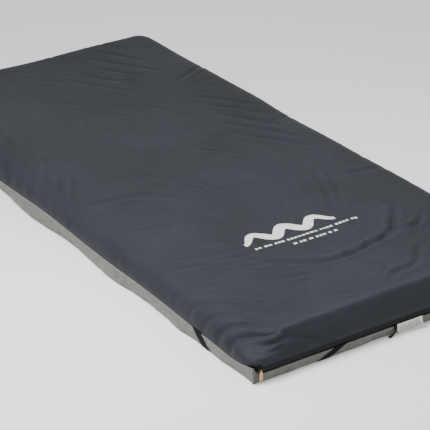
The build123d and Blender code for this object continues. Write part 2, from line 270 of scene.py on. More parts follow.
def teeth_plastic():
    n = Nodes("teeth_plastic")
    black = (0.012, 0.012, 0.013)
    n.paint(n.noise(500.0), [(0.3, shade(black, 0.7)), (0.7, shade(black, 1.6))])
    n.roughen(n.noise(300.0), 0.3, 0.5)
    return n.material


def foam(name, colour):
    """Open-cell foam: fine pores with a slightly mottled colour."""
    n = Nodes(name)
    pores = n.cells(520.0)
    tone = n.math("ADD", n.math("MULTIPLY", pores, 0.9), n.math("MULTIPLY", n.noise(18.0, 4.0), 0.4))
    n.paint(tone, [(0.25, shade(colour, 0.72)), (0.75, shade(colour, 1.1))])
    n.bump(pores, 0.0007, 0.7)
    return n.set(Roughness=0.95, Specular_IOR_Level=0.15)


def gel_film():
    """Clear, slightly blue welded film, glossy with soft ripples."""
    n = Nodes("gel_film_clear")
    ripples = n.noise(45.0, 3.0)
    n.paint(ripples, [(0.3, (0.62, 0.78, 0.88)), (0.7, (0.80, 0.90, 0.95))])
    n.roughen(n.noise(80.0), 0.08, 0.2)
    n.bump(ripples, 0.002, 0.35)
    return n.set(Transmission_Weight=0.75, IOR=1.42, Coat_Weight=0.5, Coat_Roughness=0.08)


def gel_body():
    n = Nodes("gel_body")
    n.paint(n.noise(30.0, 3.0), [(0.3, (0.03, 0.16, 0.38)), (0.7, (0.06, 0.26, 0.52))])
    n.roughen(n.noise(60.0), 0.15, 0.3)
    return n.set(Subsurface_Weight=0.3)


def ink(name, noise, stops, grain, strength, rough):
    """Printed ink: a broken tone over a fine grain."""
    n = Nodes(name)
    n.paint(n.noise(*noise), stops)
    n.bump(n.noise(grain), 0.0001, strength)
    return n.set(Roughness=rough)


COVER = cover_fabric()
LINING = lining()
GREY = base_fabric()
TAPE = woven("zip_tape_woven", (0.006, 0.006, 0.0065), 0.0008, 0.0002)
ELASTIC = woven("elastic_woven", (0.0065, 0.0065, 0.007), 0.0016)
WEBBING = woven("webbing_woven", (0.0065, 0.0065, 0.007), 0.0013)
LABEL = label_fabric()
BLACK_METAL = metal("slider_metal", (0.035, 0.034, 0.033), 0.38, 3.0)
BRASS = metal("brass_pull", (0.42, 0.31, 0.165), 0.36, 1.35)
TEETH = teeth_plastic()
FOAM_BASE = foam("foam_cream", (0.66, 0.62, 0.50))
FOAM_TOP = foam("foam_blue", (0.30, 0.44, 0.58))
FILM = gel_film()
GEL = gel_body()
INK = ink(
    "print_ink", (350.0, 4.0), [(0.25, (0.50, 0.49, 0.46)), (0.6, (0.68, 0.67, 0.64))], 600.0, 0.4, 0.6
)
LABEL_INK = ink(
    "label_ink", (700.0, 3.0), [(0.3, (0.10, 0.10, 0.10)), (0.7, (0.22, 0.22, 0.21))], 900.0, 0.3, 0.7
)
THREAD_NAVY = woven("thread_navy", (0.030, 0.035, 0.042), 0.0006, 0.0001)
THREAD_GREY = woven("thread_grey", (0.30, 0.295, 0.27), 0.0006, 0.0001)


# ---- the left side's slack
def seam_rise(y):
    """How far the left seam stands above its level: slow waves, and a dip before the near corner."""
    waves = 0.0028 * np.sin(11 * y + 1.0) + 0.0020 * np.sin(5 * y + 2.0)
    corner = 0.006 * np.exp(-(((y + HALF_Y) / 0.025) ** 2))
    dip = -0.005 * np.exp(-(((y + 0.88) / 0.05) ** 2))
    return waves * smooth((HALF_Y - np.abs(y)) / 0.15) + corner + dip


def floor_bulge(y):
    """How far the base swells at the floor: even scallops that stop at the straps."""
    scallops = 0.0030 + 0.0060 * np.cos(2 * math.pi * (y + 0.30) / 0.43)
    return scallops * (1 - np.exp(-(((np.abs(y) - 0.745) / 0.08) ** 4)))


def left_share(x):
    """1 on the left long side, falling to 0 where the zip begins."""
    return smooth((-x - HALF_X + 0.030) / 0.024)


# ---- mesh helpers
def add(name, data):
    """A new object in the scene."""
    obj = bpy.data.objects.new(name, data)
    bpy.context.scene.collection.objects.link(obj)
    return obj


def piece(name, verts, faces, material, body=None, flat=False):
    """A mesh object from points and faces, on a body if one is given."""
    mesh = bpy.data.meshes.new(name)
    mesh.from_pydata(np.asarray(verts, float).tolist(), [], [tuple(f) for f in faces])
    mesh.validate()
    mesh.materials.append(material)
    if not flat:
        mesh.shade_smooth()
    obj = add(name, mesh)
    if body:
        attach(obj, body)
    return obj


def modifier(obj, kind, **values):
    m = obj.modifiers.new(kind.lower(), kind)
    for key, value in values.items():
        setattr(m, key, value)
    return m


def apply_modifiers(obj):
    graph = bpy.context.evaluated_depsgraph_get()
    mesh = bpy.data.meshes.new_from_object(obj.evaluated_get(graph))
    obj.modifiers.clear()
    obj.data = mesh


def read(mesh):
    """A mesh's points and normals."""
    points, normals = np.zeros(len(mesh.vertices) * 3), np.zeros(len(mesh.vertices) * 3)
    mesh.vertices.foreach_get("co", points)
    mesh.vertex_normals.foreach_get("vector", normals)
    return points.reshape(-1, 3), normals.reshape(-1, 3)


def write(mesh, points):
    mesh.vertices.foreach_set("co", points.ravel())
    mesh.update()


def grid_faces(count_i, count_j, start=0, flip=False):
    """Quads between neighbouring points of a grid stored row by row."""
    i, j = np.meshgrid(np.arange(count_i - 1), np.arange(count_j - 1), indexing="ij")
    a = (start + i * count_j + j).ravel()
    quads = np.stack([a, a + count_j, a + count_j + 1, a + 1], 1)
    return quads[:, ::-1] if flip else quads


def rounded_plan(points, half_x, half_y, radius):
    """Bend a rectangle's corners in so that its outline in plan is rounded."""
    x, y = points[:, 0], points[:, 1]
    p = np.clip((np.abs(x) - half_x + radius) / radius, 0, 1)
    q = np.clip((np.abs(y) - half_y + radius) / radius, 0, 1)
    both = (p > 0) & (q > 0)
    points[both, 0] = (np.sign(x) * (half_x - radius + radius * p * np.sqrt(1 - q * q / 2)))[both]
    points[both, 1] = (np.sign(y) * (half_y - radius + radius * q * np.sqrt(1 - p * p / 2)))[both]


def panel(half_x, half_y, radius, step):
    """A plan grid whose outline is a rounded rectangle, and how its outline is laid out."""
    nx, ny = max(4, round(2 * half_x / step)), max(4, round(2 * half_y / step))
    axes = np.linspace(-half_x, half_x, nx + 1), np.linspace(-half_y, half_y, ny + 1)
    points = np.stack(np.meshgrid(*axes, indexing="ij"), 2).reshape(-1, 2)
    rounded_plan(points, half_x, half_y, radius)
    i = np.concatenate([np.arange(nx), np.full(ny, nx), np.arange(nx, 0, -1), np.zeros(ny, int)])
    j = np.concatenate([np.zeros(nx, int), np.arange(ny), np.full(nx, ny), np.arange(ny, 0, -1)])
    loop = i * (ny + 1) + j
    px, py = points[loop].T
    cx = np.clip(px, -(half_x - radius), half_x - radius)
    cy = np.clip(py, -(half_y - radius), half_y - radius)
    nrm = np.stack([px - cx, py - cy], 1)
    nrm /= np.linalg.norm(nrm, axis=1)[:, None]
    share = np.stack([cx / (half_x - radius), cy / (half_y - radius)], 1)
    gx, gy = points.T.reshape(2, nx + 1, ny + 1)
    return gx, gy, loop, nrm, share


def side_weights(normal):
    """How much a point's outward direction belongs to the left, right, foot and head side."""
    x, y = normal[:, 0], normal[:, 1]
    return np.stack(
        [np.clip(-x, 0, 1) ** 2, np.clip(x, 0, 1) ** 2, np.clip(-y, 0, 1) ** 2, np.clip(y, 0, 1) ** 2], 1
    )


def boxed(name, profiles, radii, height, material, near_left=None):
    """A panel, then rings round it that follow each side's own profile.

    profiles holds a curve of (inset, height) from the panel outwards for the left, right, foot
    and head side; radii is the plan corner radius on each ring; height gives the panel's own.
    near_left is what each ring adds to its radius at the near left corner.
    """
    first = profiles[:, 0, 0].mean()
    gx, gy, loop, normal, share = panel(HALF_X - first, HALF_Y - first, radii[0], GRID)
    weights = side_weights(normal)
    points = [np.stack([gx.ravel(), gy.ravel(), height(gx, gy).ravel()], 1)]
    faces = [grid_faces(*gx.shape)]
    before, total = loop, gx.size
    at_near_left = smooth(-share[:, 0]) * smooth(-share[:, 1])
    for k in range(1, profiles.shape[1]):
        inset = profiles[:, k, 0]
        radius = radii[k] + (0 if near_left is None else near_left[k] * at_near_left)
        inset_x = np.where(share[:, 0] + normal[:, 0] < 0, inset[0], inset[1])
        inset_y = np.where(share[:, 1] + normal[:, 1] < 0, inset[2], inset[3])
        x = share[:, 0] * (HALF_X - inset_x - radius) + normal[:, 0] * radius
        y = share[:, 1] * (HALF_Y - inset_y - radius) + normal[:, 1] * radius
        points.append(np.stack([x, y, weights @ profiles[:, k, 1]], 1))
        now = total + np.arange(len(loop))
        faces.append(np.stack([now, np.roll(now, -1), np.roll(before, -1), before], 1))
        before, total = now, total + len(loop)
    return piece(name, np.vstack(points), np.vstack(faces), material)


def block(low, high, step):
    """The points and faces of a box's surface, as a fine grid."""
    counts = [max(1, round((b - a) / step)) + 1 for a, b in zip(low, high)]
    axes = [np.linspace(a, b, n) for a, b, n in zip(low, high, counts)]
    index, points, faces = {}, [], []

    def at(i, j, k):
        key = (i, j, k)
        if key not in index:
            index[key] = len(points)
            points.append((axes[0][i], axes[1][j], axes[2][k]))
        return index[key]

    for axis in range(3):
        u, v = (axis + 1) % 3, (axis + 2) % 3
        for end in (0, counts[axis] - 1):
            for i in range(counts[u] - 1):
                for j in range(counts[v] - 1):
                    quad = []
                    for di, dj in ((0, 0), (1, 0), (1, 1), (0, 1)):
                        place = [0, 0, 0]
                        place[axis], place[u], place[v] = end, i + di, j + dj
                        quad.append(at(*place))
                    faces.append(quad if end else quad[::-1])
    return np.array(points), faces


# ---- camera, light and floor
def studio():
    """The view of the object from the near left corner of its foot end, and soft light."""
    azimuth, elevation, roll = math.radians(-31.96), math.radians(26.10), math.radians(-1.69)
    distance, target = 5.0606, Vector((-0.022, -0.1636, 0))
    back = Vector(
        (
            math.sin(azimuth) * math.cos(elevation),
            -math.cos(azimuth) * math.cos(elevation),
            math.sin(elevation),
        )
    )
    right = (-back).cross(Vector((0, 0, 1))).normalized()
    up = right.cross(-back)
    x = math.cos(roll) * right + math.sin(roll) * up
    y = -math.sin(roll) * right + math.cos(roll) * up
    data = bpy.data.cameras.new("camera")
    data.lens = 154.4
    data.sensor_width = 36.0
    data.clip_end = 60
    camera = add("camera", data)
    place = Matrix((x, y, back)).transposed().to_4x4()
    place.translation = target + back * distance
    camera.matrix_world = place
    bpy.context.scene.camera = camera

    world = bpy.data.worlds.new("studio")
    bpy.context.scene.world = world
    world.use_nodes = True
    world.node_tree.nodes["Background"].inputs["Color"].default_value = (1, 1, 1, 1)
    world.node_tree.nodes["Background"].inputs["Strength"].default_value = 0.90

    for name, place, aim, size, power in (
        ("key", (-0.9, -0.45, 1.8), (-0.1, -0.8, 0), 0.9, 60),
        ("fill", (2.6, -3.4, 2.4), (0, -0.3, 0), 2.5, 22),
        ("back", (0.5, 3.8, 2.8), (0, 0.2, 0), 2.5, 8),
    ):
        light = bpy.data.lights.new(name, "AREA")
        light.size = size
        light.energy = power
        lamp = add(name, light)
        lamp.location = place
        lamp.rotation_euler = (Vector(place) - Vector(aim)).to_track_quat("Z", "Y").to_euler()


def floor():
    n = Nodes("floor_paint")
    n.paint(n.noise(0.6), [(0.4, (0.86, 0.86, 0.86)), (0.6, (0.88, 0.88, 0.88))])
    n.set(Roughness=0.8, Specular_IOR_Level=0.1)
    size = 14.0
    corners = [(-size, -size, 0), (size, -size, 0), (size, size, 0), (-size, size, 0)]
    ground = piece("floor", corners, [(0, 1, 2, 3)], n.material)
    ground.location.z = -0.0006


# ---- the top cover
# A fold is its points, half width and depth. Folds come in fans and arcs.
def bent(start, heading, length, bend):
    """Three points of a gently bent line; heading and bend are in degrees."""
    points = [np.array(start, float)]
    for turn in (-bend / 2, bend / 2):
        angle = math.radians(heading + turn)
        points.append(points[-1] + length / 2 * np.array([math.cos(angle), math.sin(angle)]))
    return points


def fan(start, step, count, heading, turn, length, half_width, depth, bend=0):
    """Folds side by side: each starts a step further on and is turned a little more."""
    random = np.random.default_rng(count + int(1000 * length))
    folds = []
    for k in range(count):
        uneven = random.uniform(0.8, 1.15)
        place = np.array(start) + (k + random.uniform(-0.15, 0.15)) * np.array(step)
        folds.append((bent(place, heading + k * turn, length * uneven, bend), half_width, depth * uneven))
    return folds


def arc(centre, radii, low, high, half_width, depth):
    """One fold along part of a slightly uneven oval, between two angles in degrees."""
    random = np.random.default_rng(int(-high))
    angles = np.radians(np.linspace(low, high, 6))
    reach = np.array(radii) * random.uniform(0.95, 1.05, (6, 1))
    points = np.array(centre) + reach * np.column_stack([np.cos(angles), np.sin(angles)])
    return [(list(points), half_width, depth)]


PRINT_MIDDLE = (0.03, -0.50)  # the valleys under the print curve round this place

FOLDS = (
    # pulled down over the near end of the left long side, and fanned out on its middle
    fan((-0.46, -0.85), (0.010, 0.055), 4, -38, -2, 0.17, 0.008, 0.0056)
    + fan((-0.44, -0.60), (0.010, 0.090), 2, -30, 8, 0.15, 0.009, 0.0028)
    + fan((-0.43, -0.10), (0.000, 0.070), 6, 60, 2, 0.24, 0.011, 0.0052, bend=12)
    # the long soft arc and the fine creases across the middle
    + fan((-0.43, -0.10), (0.0, 0.0), 1, -20, 0, 0.42, 0.012, 0.0022, bend=-40)
    + fan((-0.11, -0.02), (-0.06, 0.06), 2, -68, 0, 0.40, 0.0055, 0.0018, bend=-10)
    # streaks towards the far right side and at the head end
    + fan((0.20, 0.10), (0.015, 0.075), 5, -60, 0, 0.25, 0.009, 0.0026, bend=-8)
    + fan((0.02, 0.73), (0.045, 0.045), 5, -60, 0, 0.24, 0.009, 0.0027)
    # beside the print, running down to it
    + fan((0.29, -0.22), (-0.05, -0.02), 2, -114, 2, 0.32, 0.009, 0.0058, bend=-8)
    # the curved valley under the print, deeper on the right, with its branches and notches
    + arc(PRINT_MIDDLE, (0.25, 0.21), -20, -155, 0.0085, 0.0054)
    + arc(PRINT_MIDDLE, (0.26, 0.22), -5, -65, 0.0095, 0.0068)
    + arc(PRINT_MIDDLE, (0.25, 0.21), -55, -68, 0.006, 0.0034)
    + arc(PRINT_MIDDLE, (0.25, 0.21), -70, -80, 0.006, 0.0034)
    + arc(PRINT_MIDDLE, (0.25, 0.21), -84, -94, 0.006, 0.0032)
    + arc(PRINT_MIDDLE, (0.16, 0.12), -10, -65, 0.007, 0.0020)
    + arc(PRINT_MIDDLE, (0.32, 0.28), -30, -52, 0.0085, 0.0060)
    + arc(PRINT_MIDDLE, (0.27, 0.38), -45, -92, 0.009, 0.0044)
    + fan((-0.25, -0.62), (0.030, -0.100), 2, -14, 0, 0.18, 0.009, 0.0018)
    # the hidden sides
    + fan((0.43, 0.60), (0.0, -0.45), 3, 205, -20, 0.15, 0.010, 0.0024)
    + fan((-0.43, 0.75), (0.0, 0.0), 1, -35, 0, 0.15, 0.010, 0.0022)
)

# Folds on the cover's foot end near the slider, across and up.
FOOT_FOLDS = (
    fan((-0.32, 0.088), (0.0, 0.0), 1, -20, 0, 0.12, 0.0060, 0.0034)
    + fan((-0.43, 0.052), (0.005, 0.014), 3, -2, 3, 0.10, 0.0050, 0.0042)
    + fan((-0.40, 0.066), (0.0, 0.0), 1, -10, 0, 0.15, 0.0045, -0.0026, bend=12)
    + fan((0.12, 0.062), (0.0, 0.0), 1, 4, 0, 0.19, 0.0080, 0.0014)
)


def fold_depth(x, y, line, half_width, depth):
    """A valley with raised lips along a line, fading out at both ends."""
    margin = 4 * half_width
    low, high = line.min(0) - margin, line.max(0) + margin
    near = (x > low[0]) & (x < high[0]) & (y > low[1]) & (y < high[1])
    px, py = x[near], y[near]
    best, place = np.full(px.shape, np.inf), np.zeros(px.shape)
    ends = np.linspace(0, 1, len(line))
    for a, b, s, t in zip(line[:-1], line[1:], ends[:-1], ends[1:]):
        d = b - a
        f = np.clip(((px - a[0]) * d[0] + (py - a[1]) * d[1]) / (d @ d), 0, 1)
        gap = np.hypot(px - a[0] - f * d[0], py - a[1] - f * d[1])
        nearer = gap < best
        best, place = np.where(nearer, gap, best), np.where(nearer, s + f * (t - s), place)
    r = best / half_width
    shape = 0.4 * np.exp(-(((r - 2.0) / 1.1) ** 2)) - np.exp(-(r**2))
    out = np.zeros(x.shape)
    out[near] = depth * shape * np.sin(np.pi * place) ** 0.6
    return out


CREASES = 240


def top_wrinkles(x, y):
    """Height added to the cover by soft swells, its folds and fine creases beside them."""
    swell = 0.0020 * noise(x * 4.2, y * 3.1, 11) + 0.0010 * noise(x * 9, y * 7, 12)
    total = swell + 0.00022 * noise(x * 60, y * 60, 16)
    lines = []
    for points, half_width, depth in FOLDS:
        line = spline(points, 6 * len(points))
        lines.append(line)
        total = total + fold_depth(x, y, line, half_width, depth)
    middles = np.array([line[len(line) // 2] for line in lines])
    headings = np.array([math.atan2(*(line[-1] - line[0])[::-1]) for line in lines])
    random = np.random.default_rng(17)
    for _ in range(CREASES):
        place = random.uniform((-HALF_X, -HALF_Y), (HALF_X, HALF_Y))
        nearest = np.argsort(np.hypot(*(middles - place).T))[random.integers(0, 2)]
        heading = headings[nearest] + random.normal(0, 0.16)
        reach = random.uniform(0.03, 0.11)
        step = reach * np.array([math.cos(heading), math.sin(heading)])
        bow = random.normal(0, 0.12) * reach * np.array([-math.sin(heading), math.cos(heading)])
        line = spline([place - step, place + bow, place + step], 12)
        width = random.uniform(0.0040, 0.0075)
        total = total + fold_depth(x, y, line, width, random.uniform(0.0003, 0.0011))
    return total


CREST = TOP_Z + 0.0045
# Each side from the panel outwards: the inset, and the drop below the crest.
COVER_SIDES = {
    "left": [
        (PANEL_INSET, 0.005), (0.047, 0.0078), (0.034, 0.0125), (0.021, 0.0205),
        (0.0105, 0.0315), (0.0035, 0.0445), (0.0000, 0.0565),
    ],
    "right": [
        (PANEL_INSET, 0.0015), (0.045, 0.001), (0.030, 0.003), (0.017, 0.009),
        (0.006, 0.021), (0.000, 0.037), (-0.001, 0.052),
    ],
    "foot": [
        (PANEL_INSET, 0.0015), (0.045, -0.001), (0.033, -0.0035), (0.024, -0.0015),
        (0.014, 0.013), (0.005, 0.030), (-0.001, 0.048),
    ],
    "head": [
        (PANEL_INSET, 0.0015), (0.045, 0.001), (0.030, 0.001), (0.020, 0.005),
        (0.009, 0.018), (0.002, 0.034), (-0.001, 0.050),
    ],
}
HEM_INSET = 0.0002
NEAR_LEFT_RADIUS = 0.044  # added to the near left corner's radius between ridge and hem


def cover_profile(points):
    """One side's curve, down to the hem."""
    return spline([(inset, CREST - drop) for inset, drop in points] + [(HEM_INSET, HEM_Z)], 40)


def cover_panel(x, y):
    """The flat part of the cover: a little lower in the middle than round its edge."""
    edge = np.minimum(HALF_X - PANEL_INSET - np.abs(x), HALF_Y - PANEL_INSET - np.abs(y))
    slope = 0.0035 * np.exp(-np.clip(x + HALF_X - PANEL_INSET, 0, None) / 0.030)
    return CREST - 0.0015 - 0.0045 * (1 - np.exp(-np.clip(edge, 0, None) / 0.07)) - slope


def corner_dip(x, y, z):
    """How far the near left corner is pulled in, above the slider."""
    away = np.hypot(x + HALF_X - 0.040, y + HALF_Y - 0.035)
    return 0.015 * np.exp(-((away / 0.060) ** 2)) * smooth((z - 0.050) / 0.035)


def make_top_cover():
    """The navy cover: a panel and four sides, folded, with the lining as its inner face."""
    profiles = np.stack([cover_profile(points) for points in COVER_SIDES.values()])
    down = np.linspace(0, 1, profiles.shape[1])
    radii = RIDGE_RADIUS + (HEM_RADIUS - RIDGE_RADIUS) * smooth(down * 1.05)
    near_left = NEAR_LEFT_RADIUS * smooth(down * 3) * (1 - 0.75 * smooth((down - 0.6) / 0.4))
    obj = boxed("top_cover_fabric", profiles, radii, cover_panel, COVER, near_left)
    points, normals = read(obj.data)
    x, y, z = points.T
    free_of_hem = smooth((z - HEM_Z) / 0.022)
    lift = top_wrinkles(x, y)
    bearing = np.arctan2(y / HALF_Y, x / HALF_X) * 3.2
    wall = 1 - smooth((normals[:, 2] - 0.1) / 0.5)
    ripples = 0.0016 * noise(bearing * 16, z * 22, 21) + 0.0008 * noise(bearing * 41, z * 40, 22)
    lift += wall * ripples
    far_side = smooth((x - 0.25) / 0.15)
    lift += far_side * 0.0030 * noise(y * 5.5 + 0.4, z * 6, 23)
    facing_foot = smooth((-normals[:, 1] - 0.25) / 0.5)
    for points_xz, half_width, depth in FOOT_FOLDS:
        line = spline(points_xz, 6 * len(points_xz))
        lift += facing_foot * fold_depth(x, z, line, half_width, depth)
    lift -= corner_dip(x, y, z)
    points += normals * (lift * free_of_hem)[:, None]
    rise = seam_rise(y) * left_share(x) * (1 - smooth((z - HEM_Z) / 0.035))
    points[:, 2] += rise
    write(obj.data, points)
    modifier(obj, "SOLIDIFY", thickness=0.0012, offset=-1.0, material_offset=1)
    obj.data.materials.append(LINING)
    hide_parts("top_cover")
    return obj


# ---- the base cover
STRAP_REACH = 0.200  # how far from its corner a strap meets each edge
UNDERSIDE_RADIUS = 0.040  # plan radius where the underside's ring begins
WALL_TOP = ZIP_WALL_Z - 0.0030
SEAM_TOP = SEAM_Z + 0.0006


def strap_distance(x, y):
    """Distance in plan from the nearest corner strap's middle line."""
    return np.abs(HALF_X - np.abs(x) + HALF_Y - np.abs(y) - STRAP_REACH) / math.sqrt(2)


def make_base_cover():
    """The grey tray: a crisp bottom edge, a slightly slack wall and a flat underside."""
    # each side from the underside outwards: the inset and the height
    underside = [(0.030, 0.0), (0.012, 0.0), (0.0020, 0.0002)]
    left = underside + [
        (0.0001, 0.0020), (-0.0003, 0.012), (-0.0006, 0.022), (-0.0004, 0.031), (0.0004, SEAM_TOP),
    ]
    zip_side = underside + [
        (0.0001, 0.0018), (-0.0002, 0.008), (-0.0004, 0.014), (0.0000, 0.0185), (0.0008, WALL_TOP),
    ]
    profiles = np.stack([spline(points, 32) for points in (left, zip_side, zip_side, zip_side)])
    down = np.linspace(0, 1, profiles.shape[1])
    radii = BASE_RADIUS + (UNDERSIDE_RADIUS - BASE_RADIUS) * (1 - smooth(down / 0.25))
    radii += (HEM_RADIUS - BASE_RADIUS) * smooth((down - 0.62) / 0.38)
    obj = boxed("base_cover_fabric", profiles, radii, lambda x, y: np.zeros(x.shape), GREY)
    obj.data.flip_normals()
    points, _ = read(obj.data)
    x, y, z = points.T.copy()
    # round both left corners the wall reaches up to the seam, as far as the zip's ends
    height = z / WALL_TOP
    high = smooth((TAPE_START - x) / 0.004)
    at_end = (np.abs(y) > HALF_Y - 0.012) & (x < -HALF_X + 0.05) & (z < WALL_TOP + 0.001)
    points[at_end, 2] = (z + (height * SEAM_TOP - z) * high * (z > 0.003))[at_end]
    z = points[:, 2]
    share = left_share(x)
    long_side = HALF_X - np.abs(x) < HALF_Y - np.abs(y)
    place = np.where(long_side, y, x + 3.0)
    off_strap = smooth((strap_distance(x, y) - 0.02) / 0.03)
    off_corner = smooth((np.hypot(x + 0.41, y + HALF_Y) - 0.03) / 0.04)
    calm = off_strap * off_corner
    skirt = smooth((np.maximum(np.abs(x) - HALF_X, np.abs(y) - HALF_Y) + 0.016) / 0.012)
    low = 1 - smooth((z - 0.004) / (SEAM_Z - 0.008))
    wave = 0.0020 * noise(place * 13, z * 30, 31) + 0.0013 * noise(place * 34, z * 60, 32)
    under_zip = smooth((WALL_TOP - z) / 0.008)
    push = wave * calm * skirt * smooth((SEAM_Z - z) / 0.014) * np.where(share > 0, 1, under_zip)
    push += floor_bulge(y) * share * low * skirt
    points[:, 0] += np.where(long_side, np.sign(x) * push, 0)
    points[:, 1] += np.where(long_side, 0, np.sign(y) * push)
    channel = 0.0019 * (1 - smooth((strap_distance(x, y) - 0.0135) / 0.008))
    puff = 0.0022 * np.clip(noise(place * 17, z * 0, 33), 0, 1) * skirt * calm
    points[:, 2] = np.where(z < 0.004, np.maximum(z, channel), z) + puff * low
    points[:, 2] += seam_rise(y) * share * smooth((z - 0.012) / (SEAM_Z - 0.012))
    write(obj.data, points)
    modifier(obj, "SOLIDIFY", thickness=0.0011, offset=-1.0)
    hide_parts("base_cover")
    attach(obj, "base")
    return obj


# ---- the zip
TAPE_INSET = 0.0012
TEETH_PITCH = 0.0019
TEETH_REACH = -0.0005  # the rows stop just clear of the slider's post
TOOTH_WIDTH = 0.0011
TOOTH_PROUD = 0.0017
STITCH_PITCH = 0.0034
STITCH_LONG = 0.0023
STITCH_HIGH = 0.0006


def zip_line(inset, start, step):
    """Points and outward normals along the zip, from the foot end round to the head end."""
    hx, hy, r = HALF_X - inset, HALF_Y - inset, HEM_RADIUS - inset
    quarter = r * math.pi / 2
    runs = [2 * (hx - r), quarter, 2 * (hy - r), quarter, 2 * (hx - r)]
    s = np.arange(-quarter, sum(runs) + quarter, step)
    points, normals = np.zeros((len(s), 2)), np.zeros((len(s), 2))
    edges = np.concatenate([[-quarter, 0], np.cumsum(runs), [sum(runs) + quarter]])
    # a corner's centre, or None for a straight run
    near_left, near_right = (-hx + r, -hy + r), (hx - r, -hy + r)
    far_right, far_left = (hx - r, hy - r), (-hx + r, hy - r)
    centres = [near_left, None, near_right, None, far_right, None, far_left]
    starts = [(-hx + r, -hy), (hx, -hy + r), (hx - r, hy)]
    for k, (low, high) in enumerate(zip(edges[:-1], edges[1:])):
        here = (s >= low) & (s < high)
        d = (s[here] - low)[:, None]
        if centres[k] is None:
            heading = (k - 1) / 2 * math.pi / 2
            ahead = np.array([math.cos(heading), math.sin(heading)])
            points[here] = starts[(k - 1) // 2] + d * ahead
            normals[here] = (ahead[1], -ahead[0])
        else:
            turn = d / r - math.pi + k / 2 * math.pi / 2
            normals[here] = np.hstack([np.cos(turn), np.sin(turn)])
            points[here] = normals[here] * r + centres[k]
    keep = points[:, 0] > start
    return points[keep], normals[keep]


def ribbon_along(name, start, low, high, node):
    """A woven tape that stands on edge along the zip line."""
    points, _ = zip_line(TAPE_INSET, start, 0.006)
    rows = np.linspace(low, high, 5)
    verts = np.vstack([np.column_stack([points, np.full(len(points), z)]) for z in rows])
    obj = piece(name, verts, grid_faces(len(rows), len(points), flip=True), TAPE)
    modifier(obj, "SOLIDIFY", thickness=0.0006, offset=-1.0)
    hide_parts(node)
    return obj


def beads(name, points, normals, low, high, width, proud, depth, material):
    """Small tapered blocks, one at each point of a line: zip teeth or stitches."""
    tangent = np.stack([-normals[:, 1], normals[:, 0]], 1)
    low, high = np.broadcast_to(low, len(points)), np.broadcast_to(high, len(points))
    outer, inner = points + normals * proud, points - normals * depth
    corners = []
    for base, half, pull in ((inner, width / 2, 0.0), (outer, width * 0.32, (high - low) * 0.12)):
        for side, top in ((-1, 0), (1, 0), (1, 1), (-1, 1)):
            z = high - pull if top else low + pull
            corners.append(np.column_stack([base + side * half * tangent, z]))
    verts = np.stack(corners, 1).reshape(-1, 3)
    cube = np.array([(3, 2, 1, 0), (4, 5, 6, 7), (1, 5, 4, 0), (2, 6, 5, 1), (3, 7, 6, 2), (0, 4, 7, 3)])
    faces = (cube[None] + 8 * np.arange(len(points))[:, None, None]).reshape(-1, 4)
    return piece(name, verts, faces, material, flat=True)


def make_zip():
    """Two woven tapes, two rows of teeth with a slight gap, and the stitching beside them."""
    tape_start = TAPE_START + 0.004
    lower = ribbon_along(
        "zip_tape_lower_woven", tape_start, TAPE_LOW.z, TAPE_HIGH.z, "zipper_tape_lower"
    )
    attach(lower, "base")
    upper = ribbon_along(
        "zip_tape_upper_woven", tape_start, UPPER_TAPE_LOW.z, UPPER_TAPE_HIGH.z, "zipper_tape_upper"
    )
    points, normals = zip_line(TAPE_INSET, TEETH_LOW.x, TEETH_PITCH / 2)
    row = beads(
        "zip_teeth_lower_row", points[::2], normals[::2], TEETH_LOW.z + 0.0004, ZIP_Z + TEETH_REACH,
        TOOTH_WIDTH, TOOTH_PROUD, 0.0, TEETH,
    )
    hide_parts("zipper_teeth_lower")
    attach(row, "base")
    upper_row = beads(
        "zip_teeth_upper_row", points[1::2], normals[1::2],
        ZIP_Z - TEETH_REACH, UPPER_TEETH_HIGH.z - 0.0004,
        TOOTH_WIDTH, TOOTH_PROUD, 0.0, TEETH,
    )
    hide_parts("zipper_teeth_upper")
    points, normals = zip_line(0.0, tape_start + 0.004, STITCH_PITCH)
    hem_stitches = beads(
        "hem_stitches", points, normals, HEM_Z + 0.0026, HEM_Z + 0.0032,
        STITCH_LONG, 0.0009, 0.0006, THREAD_NAVY,
    )
    wall_stitches = beads(
        "wall_stitches", points, normals, WALL_TOP - 0.0030, WALL_TOP - 0.0024,
        STITCH_LONG, 0.0012, 0.0006, THREAD_GREY,
    )
    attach(wall_stitches, "base")
    y = np.arange(-HALF_Y + 0.03, HALF_Y - 0.03, STITCH_PITCH)
    line = np.column_stack([np.full(len(y), -HALF_X), y])
    outward = np.tile([-1.0, 0.0], (len(y), 1))
    z = SEAM_Z - 0.0028 + seam_rise(y)
    seam_stitches = beads(
        "seam_stitches", line, outward, z, z + STITCH_HIGH,
        STITCH_LONG, 0.0015, 0.0006, THREAD_GREY,
    )
    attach(seam_stitches, "base")
    return [upper, upper_row, hem_stitches]


# ---- straps
LEG_SPAN = 0.0177  # half a leg's width
STRAP_PROUD = 0.0009
LEG_PROUD = 0.0010
END_LEG_X = 0.180  # where the legs are sewn in, on the ends and on the long sides
SIDE_LEG_Y = 0.722


def strip(name, centres, across, material, thickness=0.0014, columns=7):
    """A flat band through `centres`, as wide as the `across` vectors either way."""
    sides = np.linspace(-1, 1, columns)
    verts = np.concatenate([centres + side * across for side in sides])
    obj = piece(name, verts, grid_faces(columns, len(centres)), material)
    modifier(obj, "SOLIDIFY", thickness=thickness, offset=0.0)
    modifier(obj, "BEVEL", width=thickness * 0.3, segments=2, limit_method="ANGLE")
    return obj


